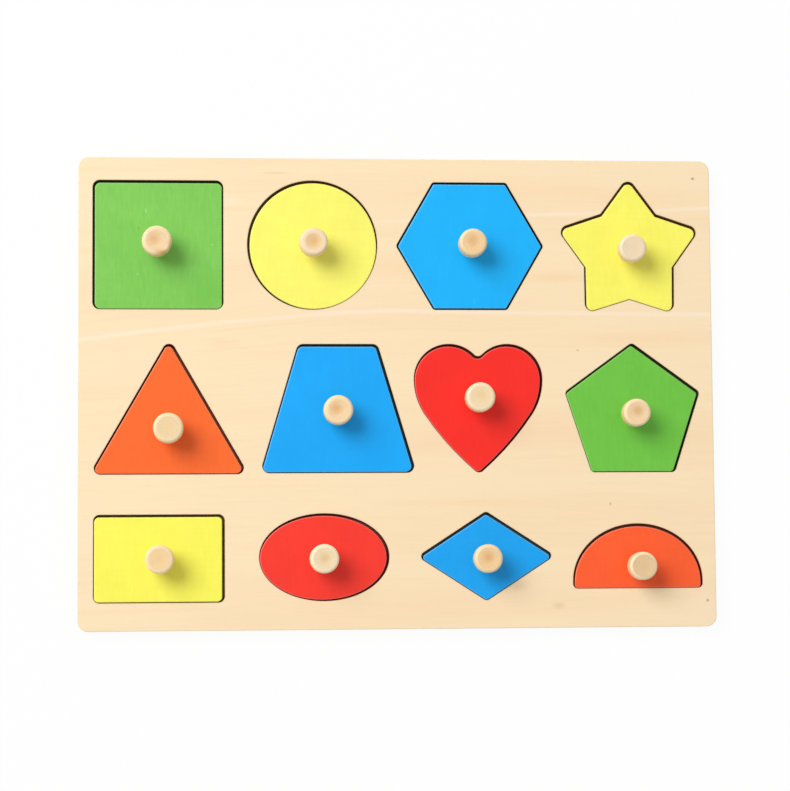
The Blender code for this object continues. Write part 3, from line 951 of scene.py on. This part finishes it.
def paint_finish(name, colour, sheet):
    """Satin paint over birch, with a painted highlight along the eased top edges, on a ply edge
    charred by the cutter.
    """
    finish = Finish(name + "_paint", Specular_IOR_Level=0.3)
    low, high = sheet
    tint, brushed = COATS[name]
    colour = [channel * share for channel, share in zip(colour, tint)]
    place = finish.place()
    x, y, z = finish.split(place)
    clouds = finish.noise(place, PAINT_CLOUDS, 4.0, 0.6)
    strokes = finish.pattern((x, y, z), BRUSH_STROKES, 3.0, 0.6, 0.4)
    grain = finish.pattern((x, y, z), PAINTED_GRAIN, 3.0, 0.6)
    level = 1.0 + 0.16 * (clouds - 0.5) + 0.24 * brushed * (strokes - 0.5) + 0.05 * (grain - 0.5)
    film = finish.shaded(colour, level)
    scratches = finish.spots(finish.joined(x, y * 0.25, z), 60.0, 0.030)
    pits = finish.spots(finish.joined(x + 0.31, y * 0.4 + 0.17, z), 45.0, 0.018)
    film = finish.blend(scratches * 0.5 * brushed**3, film, linear(*SCRATCH))
    film = finish.blend(pits * 0.6 * brushed**3, film, finish.shaded(colour, 0.35))
    # Chips and runs, and on the square painted shade of its knob's shadow tail
    film = marked(finish, x, y, film, PAINT_MARKS_AND_SHADE.get(name, []))
    bare, wood_roughness, _ = veneer(finish, x + 0.2, y + 0.9, z, linear(*UNDER_PAINT))
    edge, _ = ply_edge(finish, place, low.z, high.z, FRAME_PLIES)
    side = finish.mark("side")
    burnt = finish.mark("burnt")
    # Painted highlight: the eased top edge is made lighter all round, standing in for the lamp's
    # gleam on it
    edge_highlight = finish.rise(burnt, 0.10, 0.40) * (1 - side)
    film = finish.blend(edge_highlight * 0.12, film, linear(*EDGE_HIGHLIGHT))
    wood = finish.blend(side, bare, edge)
    # The charred sides take the painted bounce tint of their own paint
    wood = scorched_and_shaded(finish, place, wood, burnt, bounce_tint_of(colour))
    patchy = finish.noise(place, PAINT_PATCHES, 2.0)
    overspray = finish.rise(z, low.z, high.z - 0.0004) * 0.9 * side
    cover = finish.rise(finish.mark("paint").larger(overspray) + 0.35 * (patchy - 0.5), 0.25, 0.6)
    colour = finish.blend(cover, wood, film)
    roughness = wood_roughness * (1 - cover) + cover * (0.36 + 0.10 * clouds)
    relief = grain * 0.6 + strokes * 0.3 + clouds * 0.5
    return finish.ends(colour, roughness, relief, FINE_RELIEF)


def knob_finish(name, top):
    """Turned pale hardwood: end grain on the head's face, long grain down its sides."""
    rim, face, heart = KNOB_WOODS[name]
    heart_place, dish_radius, _, _ = KNOB_HEADS[name]
    finish = Finish(name + "_wood", Coat_Weight=0.1, Coat_Roughness=0.3)
    place = finish.place()
    x, y, z = finish.split(place)
    pores = finish.noise(place, KNOB_PORES, 3.0, 0.6)
    fibres = finish.pattern((x, y, z), KNOB_FIBRES, 3.0, 0.6)
    # Each knob has its own blotches, cut from another height of the pattern
    cut = finish.joined(x * KNOB_BLOTCHES, y * KNOB_BLOTCHES, heart_place[0] * 9000)
    blotches = finish.noise(cut, 1.0, 3.0, 0.6)
    from_heart = finish.joined(x - heart_place[0], y - heart_place[1], 0.0).length()
    growth = (from_heart + 0.0009 * (blotches - 0.5)) / RING_SPACING
    late = finish.rise(growth.math("FRACT", growth), 0.45, 0.95)
    stain = 1 - finish.rise(from_heart + 0.0016 * (blotches - 0.5), 0.0, 0.0040)
    level = 0.99 - 0.07 * late + 0.14 * (blotches - 0.5) + 0.34 * (pores - 0.5)
    end = finish.shaded(linear(*face), level)
    end = finish.blend(stain * (0.5 + 0.6 * blotches), end, linear(*heart))
    long = finish.shaded(linear(*KNOB_SIDE), 0.96 + 0.22 * (fibres - 0.5))
    rim = finish.shaded(linear(*rim), 0.97 + 0.10 * (fibres - 0.5))
    radius = finish.joined(x, y, 0.0).length()
    on_face = 1 - finish.rise(radius, dish_radius - 0.0002, dish_radius + 0.0004)
    on_top = finish.rise(z, top - 0.0040, top - 0.0010)
    colour = finish.blend(on_top, long, finish.blend(on_face, rim, end))
    # Painted shade on the square knob's rim, at its lower right
    colour = marked(finish, x, y, colour, KNOB_SHADE.get(name, []))
    roughness = 0.42 + 0.16 * pores
    return finish.ends(colour, roughness, pores * 0.5 + fibres * 0.5, FINE_RELIEF)


# Settings that a user may change


def level_setting(name, description, default, unit="NONE"):
    return FloatProperty(name=name, description=description, default=default, unit=unit)


def length_setting(name, description, default):
    return level_setting(name, description, default, "LENGTH")


def colour_setting(name, description, *default):
    return FloatVectorProperty(
        name=name, description=description, default=linear(*default), subtype="COLOR"
    )


class PuzzleSizes(bpy.types.PropertyGroup):
    """Small sizes of the visible pieces."""

    board_ease: length_setting("Board edge", "Rounding of the board's outer top edge", 0.0003)
    recess_ease: length_setting("Recess edge", "Rounding of the top edge of each recess", 0.0002)
    shape_ease: length_setting("Shape edge", "Rounding of each painted shape's top edge", 0.0005)
    under_ease: length_setting("Underside edge", "Rounding of the lower edges", 0.0001)
    # This reach also spaces the steps of the painted shade on each recess floor
    scorch_and_shade_reach: length_setting(
        "Scorch reach", "How far the scorch of a cut edge reaches over the face beside it", 0.0004
    )
    knob_sides: IntProperty(
        name="Knob facets", description="Facets round a knob", default=64, min=16, max=128
    )


class PuzzleColours(bpy.types.PropertyGroup):
    """Colours of the wood and the paints."""

    birch: colour_setting("Birch face", "Wood of the frame sheet's face", 252, 228, 188)
    backing: colour_setting("Backing", "Wood of the sheet that closes the recesses", 240, 216, 176)
    green: colour_setting("Green", "Paint of the square and the pentagon", 118, 200, 72)
    yellow: colour_setting("Yellow", "Paint of the circle, star and rectangle", 252, 246, 96)
    blue: colour_setting("Blue", "Paint of the hexagon, trapezoid and rhombus", 8, 172, 250)
    red: colour_setting("Red", "Paint of the heart and the oval", 248, 42, 32)
    orange: colour_setting("Orange", "Paint of the triangle and the semicircle", 252, 102, 38)


class PuzzleStage(bpy.types.PropertyGroup):
    """The floor, the lamp and the room."""

    floor: FloatVectorProperty(
        name="Floor", description="Colour of the floor", subtype="COLOR", default=(0.9, 0.9, 0.9)
    )
    floor_glow: level_setting("Floor white", "Share of white seen in the floor", 0.95)
    lamp_level: level_setting("Lamp level", "Light on a white card lying on the board", 0.58)
    sky_level: level_setting("Room level", "Brightness of the room round the puzzle", 0.47)
    lamp_place: FloatVectorProperty(
        name="Lamp place",
        description="Where the lamp stands, up to the left of the board",
        subtype="TRANSLATION",
        unit="LENGTH",
        default=(-1.85, 1.33, 2.39),
    )
    lamp_size: length_setting("Lamp size", "Width of the soft lamp", 2.35)


# Operators, one for each piece or group of like pieces


class PUZZLE_OT_backing(bpy.types.Operator):
    """Makes the thin sheet that closes the recesses from below."""

    bl_idname = "puzzle.backing"
    bl_label = "Backing sheet"

    def execute(self, context):
        sizes = context.scene.puzzle_sizes
        colours = context.scene.puzzle_colours
        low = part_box("backing_panel")[0].z
        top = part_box("frame_panel")[0].z - SEAT_GAP
        work = new_work()
        band = sizes.scorch_and_shade_reach
        ease = sizes.under_ease
        loft(work, board_outline, sheet_edge(low, top, BACKING_PLIES, ease, ease, band))
        # Painted shade on each recess floor, darkest at its wall
        floor = [(2 * band * step, top, 0.0, burnt, 0.0) for step, burnt in enumerate(FLOOR_SHADE)]
        loft_recesses(work, colours, floor)
        close(work, low, top)
        piece = new_piece("backing_sheet", work, backing_finish(colours))
        stands_for(piece, "backing_panel", "board")
        return {"FINISHED"}


class PUZZLE_OT_frame(bpy.types.Operator):
    """Makes the sheet with the twelve recesses cut through it."""

    bl_idname = "puzzle.frame"
    bl_label = "Frame sheet"

    def execute(self, context):
        sizes = context.scene.puzzle_sizes
        colours = context.scene.puzzle_colours
        low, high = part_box("frame_panel")
        work = new_work()
        below = (sizes.under_ease, sizes.scorch_and_shade_reach)
        outer = sheet_edge(low.z, high.z, FRAME_PLIES, sizes.board_ease, *below)
        loft(work, board_outline, outer)
        cut = sheet_edge(low.z, high.z, FRAME_PLIES, sizes.recess_ease, *below, burnt=1.0)
        loft_recesses(work, colours, cut, turned=True)
        close(work, low.z, high.z)
        piece = new_piece("frame_sheet", work, frame_finish(colours))
        stands_for(piece, "frame_panel", "board")
        return {"FINISHED"}


class PUZZLE_OT_shapes(bpy.types.Operator):
    """Makes the twelve painted shapes, each with the hole for its knob's tenon."""

    bl_idname = "puzzle.shapes"
    bl_label = "Painted shapes"

    def execute(self, context):
        sizes = context.scene.puzzle_sizes
        for name, (_, paint) in SHAPES.items():
            low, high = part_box(name + "_shape")
            axis = box_middle(*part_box(name + "_knob"))
            work = new_work()
            eased = (sizes.shape_ease, sizes.under_ease, sizes.scorch_and_shade_reach)
            edge = sheet_edge(low.z, high.z, FRAME_PLIES, *eased, burnt=SHAPE_SCORCH, paint=1.0)
            loft(work, lambda inset: shape_outline(name, inset), edge)
            hole = TENON_RADIUS + TENON_CLEARANCE
            wall = (HOLE_SCORCH, HOLE_SCORCH, 0.0)
            bore = [(0.0, low.z, 0.0, 0.0, 0.0), (0.0, low.z + sizes.under_ease, *wall)]
            bore += [(0.0, high.z - sizes.under_ease, *wall), (0.0, high.z, 0.0, 0.0, 1.0)]
            loft(work, lambda inset: arc(axis, hole + inset, 0.0, math.tau)[:-1], bore)
            close(work, low.z, high.z)
            colour = getattr(context.scene.puzzle_colours, paint)
            finish = paint_finish(name, colour, (low, high))
            piece = new_piece(name + "_painted_shape", work, finish)
            stands_for(piece, name + "_shape", name + "_piece")
        return {"FINISHED"}


class PUZZLE_OT_knobs(bpy.types.Operator):
    """Makes the twelve turned knobs."""

    bl_idname = "puzzle.knobs"
    bl_label = "Turned knobs"

    def execute(self, context):
        sides = context.scene.puzzle_sizes.knob_sides
        spokes = [Vector(spoke) for spoke in regular_polygon(sides, 1.0, 0.0)]
        for name, (_, dish_radius, dish_depth, head_share) in KNOB_HEADS.items():
            low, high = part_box(name + "_knob")
            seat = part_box(name + "_shape")[1].z
            axis = box_middle(low, high)
            top = high.z - seat
            head_radius = (high.x - low.x) / 2 * head_share
            work = new_work()
            profile = knob_profile(head_radius, top, low.z - seat, dish_radius, dish_depth)
            # These rings have a radius in place of an inset
            loft(work, lambda radius: [radius * spoke for spoke in spokes], profile)
            close(work)
            finish = knob_finish(name, top)
            piece = new_piece(name + "_turned_knob", work, finish, (*axis, seat))
            stands_for(piece, name + "_knob", name + "_piece")
        return {"FINISHED"}


class PUZZLE_OT_stage(bpy.types.Operator):
    """Makes the pale floor, the soft light and the camera."""

    bl_idname = "puzzle.stage"
    bl_label = "Floor, light and camera"

    def execute(self, context):
        stage = context.scene.puzzle_stage
        make_floor(stage)
        make_light(stage)
        make_camera()
        return {"FINISHED"}


def seen(nodes):
    """1 for what the camera sees, straight or in a gloss or a glass."""
    path = nodes.node("ShaderNodeLightPath", {}, {})
    straight = path["Is Camera Ray"]
    return straight.larger(path["Is Glossy Ray"]).larger(path["Is Transmission Ray"])


def make_floor(stage):
    """A wide floor that looks near white and keeps a soft shadow."""
    work = new_work()
    bmesh.ops.create_circle(work, cap_ends=True, segments=FLOOR_SIDES, radius=FLOOR_REACH)
    finish = Finish("floor_white", Roughness=1.0, Specular_IOR_Level=0.0)
    finish.shader.inputs["Base Color"].default_value = (*stage.floor, 1.0)
    white = {"Color": (1.0, 1.0, 1.0), "Strength": 1.0}
    glow = finish.node("ShaderNodeEmission", {}, white)["Emission"]
    card = Value(finish, finish.shader.outputs["BSDF"])
    shaders = (seen(finish) * stage.floor_glow, card, glow)
    both = finish.node("ShaderNodeMixShader", {}, shaders)["Shader"]
    output = finish.tree.nodes["Material Output"]
    finish.tree.links.new(both.socket, output.inputs["Surface"])
    new_piece("floor", work, finish.material)


def aimed(place, aim, up):
    """The place and turn of a lamp or camera that looks at a point."""
    back = (place - aim).normalized()
    right = up.cross(back).normalized()
    turn = Matrix((right, back.cross(right), back)).transposed()
    return Matrix.Translation(place) @ turn.to_4x4()


def make_light(stage):
    """A soft lamp up to the left, and a plain bright room round the puzzle."""
    world = bpy.data.worlds.new("room")
    bpy.context.scene.world = world
    world.use_nodes = True
    back = world.node_tree.nodes["Background"]
    back.inputs["Color"].default_value = (1.0, 1.0, 1.0, 1.0)
    level = stage.sky_level + seen(Nodes(world.node_tree)) * (1 - stage.sky_level)
    world.node_tree.links.new(level.socket, back.inputs["Strength"])

    place = Vector(stage.lamp_place)
    lamp = bpy.data.lights.new("lamp", "AREA")
    lamp.shape = "DISK"
    lamp.size = stage.lamp_size
    # A lamp's light falls with the square of its distance and with the slant at which it lands
    lamp.energy = stage.lamp_level * math.pi**2 * place.length**3 / place.z
    holder = bpy.data.objects.new("lamp", lamp)
    holder.matrix_world = aimed(place, Vector(), Vector((0, 0, 1)))
    bpy.context.scene.collection.objects.link(holder)


def make_camera():
    """The photograph's camera, nearly over the board and a little to its front left."""
    lens = bpy.data.cameras.new("camera")
    lens.sensor_width = SENSOR_WIDTH
    lens.lens = SENSOR_WIDTH * FOCAL_PIXELS / max(IMAGE_WIDTH, IMAGE_HEIGHT)
    lens.clip_start = NEAREST_SEEN
    lens.clip_end = FARTHEST_SEEN
    camera = bpy.data.objects.new("camera", lens)
    place = Vector(CAMERA_PLACE)
    level = aimed(place, Vector(CAMERA_AIM), Vector((0, 1, 0)))
    camera.matrix_world = level @ Matrix.Rotation(CAMERA_ROLL, 4, "Z")
    bpy.context.scene.collection.objects.link(camera)
    bpy.context.scene.camera = camera


class VIEW3D_PT_puzzle(bpy.types.Panel):
    """Sidebar panel with the puzzle's settings and its makers."""

    bl_idname = "VIEW3D_PT_puzzle"
    bl_label = "Knob shape puzzle"
    bl_space_type = "VIEW_3D"
    bl_region_type = "UI"
    bl_category = "Puzzle"

    def draw(self, context):
        layout = self.layout
        for name in GROUPS:
            group = getattr(context.scene, name)
            box = layout.box()
            for setting in group.__annotations__:
                box.prop(group, setting)
        for maker in MAKERS:
            layout.operator(maker.bl_idname)


GROUPS = {"puzzle_sizes": PuzzleSizes, "puzzle_colours": PuzzleColours, "puzzle_stage": PuzzleStage}
MAKERS = [PUZZLE_OT_backing, PUZZLE_OT_frame, PUZZLE_OT_shapes, PUZZLE_OT_knobs, PUZZLE_OT_stage]


def register():
    for name, group in GROUPS.items():
        bpy.utils.register_class(group)
        setattr(bpy.types.Scene, name, PointerProperty(type=group))
    for kind in (*MAKERS, VIEW3D_PT_puzzle):
        bpy.utils.register_class(kind)


def unregister():
    for kind in reversed((*MAKERS, VIEW3D_PT_puzzle)):
        bpy.utils.unregister_class(kind)
    for name, group in GROUPS.items():
        delattr(bpy.types.Scene, name)
        bpy.utils.unregister_class(group)


def main():
    register()
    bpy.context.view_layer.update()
    bpy.ops.puzzle.backing()
    bpy.ops.puzzle.frame()
    bpy.ops.puzzle.shapes()
    bpy.ops.puzzle.knobs()
    bpy.ops.puzzle.stage()
    scene = bpy.context.scene
    scene.view_settings.view_transform = "Standard"


if __name__ == "__main__":
    main()
